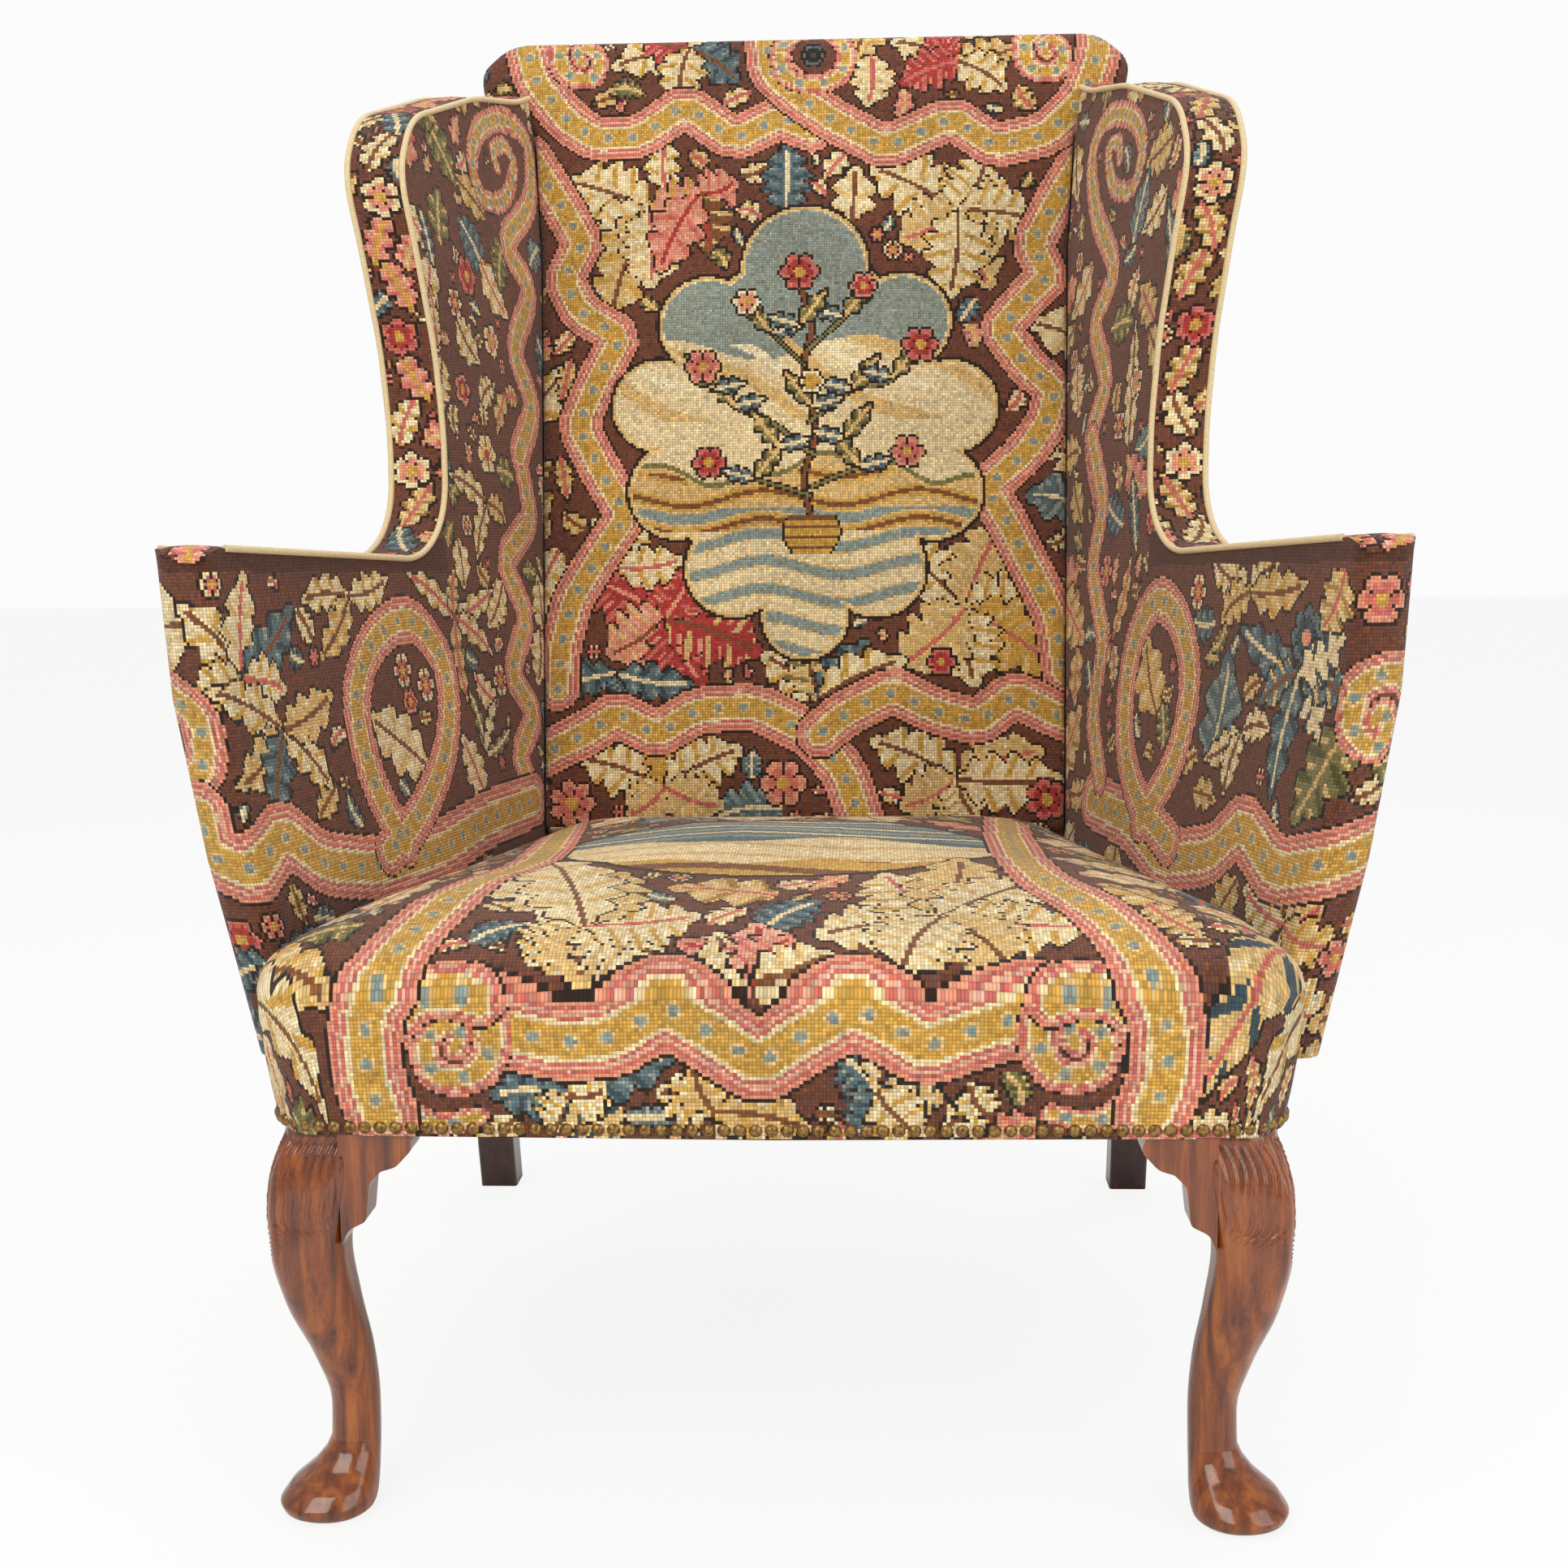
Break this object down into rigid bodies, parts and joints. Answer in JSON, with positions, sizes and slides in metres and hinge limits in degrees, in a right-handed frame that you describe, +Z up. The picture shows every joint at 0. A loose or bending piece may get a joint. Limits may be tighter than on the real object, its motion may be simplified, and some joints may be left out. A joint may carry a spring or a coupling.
{
  "type": "wingback armchair",
  "caption": "Wingback armchair with a tight crowned seat, tall raked back, flared wings and arms, needlework covers, brass nails and carved curved front legs with pad feet.",
  "frame": {"origin": "on the floor under the middle of the bounding box", "axes": "+Z up, the chair faces -Y, +X is the right side seen from the front"},
  "size_m": [0.86, 0.8062, 1.1221],
  "materials": {
    "antique_brass": "aged, rubbed bright on the crowns",
    "screw_steel": "plain",
    "spring_steel": "copper-washed wire",
    "polished_walnut": "polished, satin gloss",
    "dark_stained_wood": "dark stain, satin",
    "needlework": "wool cross stitch on canvas, patterned",
    "cream_cord": "woven cord, matt",
    "jute_webbing": "woven jute",
    "hessian": "open woven jute",
    "hair_stuffing": "curled hair and wadding",
    "black_cambric": "thin woven cloth",
    "beech_frame": "bare wood"
  },
  "bodies": {
    "root": {"arm_wing_inside_cover_right": "needlework", "arm_wing_inside_cover_left": "needlework", "arm_wing_outside_cover_right": "needlework", "arm_wing_outside_cover_left": "needlework", "arm_wing_border_band_right": "needlework", "arm_wing_border_band_left": "needlework", "arm_rail_right": "beech_frame", "arm_rail_left": "beech_frame", "wing_post_right": "beech_frame", "wing_post_left": "beech_frame", "wing_rail_right": "beech_frame", "wing_rail_left": "beech_frame", "arm_post_right": "beech_frame", "arm_post_left": "beech_frame", "arm_tack_rail_right": "beech_frame", "arm_tack_rail_left": "beech_frame", "wing_stile_right": "beech_frame", "wing_stile_left": "beech_frame", "arm_wing_stuffing_right": "hair_stuffing", "arm_wing_stuffing_left": "hair_stuffing", "piping_inner_right": "cream_cord", "piping_inner_left": "cream_cord", "piping_outer_right": "cream_cord", "piping_outer_left": "cream_cord", "back_inside_cover": "needlework", "back_crest_cover": "needlework", "crest_rail": "beech_frame", "back_stuffing": "hair_stuffing", "crest_wadding": "hair_stuffing", "rear_leg_post_right": "dark_stained_wood", "rear_leg_post_left": "dark_stained_wood", "stay_rail": "beech_frame", "back_webbing_long": "jute_webbing", "back_webbing_cross": "jute_webbing", "back_outside_cover": "needlework", "seat_rail_front": "beech_frame", "seat_rail_side_right": "beech_frame", "seat_rail_side_left": "beech_frame", "seat_rail_rear": "beech_frame", "seat_cover": "needlework", "seat_stuffing": "hair_stuffing", "seat_hessian": "hessian", "corner_block_right": "beech_frame", "corner_block_left": "beech_frame", "corner_block_screw_right": "screw_steel", "corner_block_screw_left": "screw_steel", "front_leg_right": "polished_walnut", "front_leg_left": "polished_walnut", "knee_bracket_front_right": "polished_walnut", "knee_bracket_front_left": "polished_walnut", "knee_bracket_side_right": "polished_walnut", "knee_bracket_side_left": "polished_walnut", "seat_webbing_long": "jute_webbing", "seat_webbing_cross": "jute_webbing", "seat_springs": "spring_steel", "dust_cover": "black_cambric", "nails_seat_front": "antique_brass", "nails_side_right": "antique_brass", "nails_side_left": "antique_brass", "nails_rear": "antique_brass"}
  },
  "joints": []
}
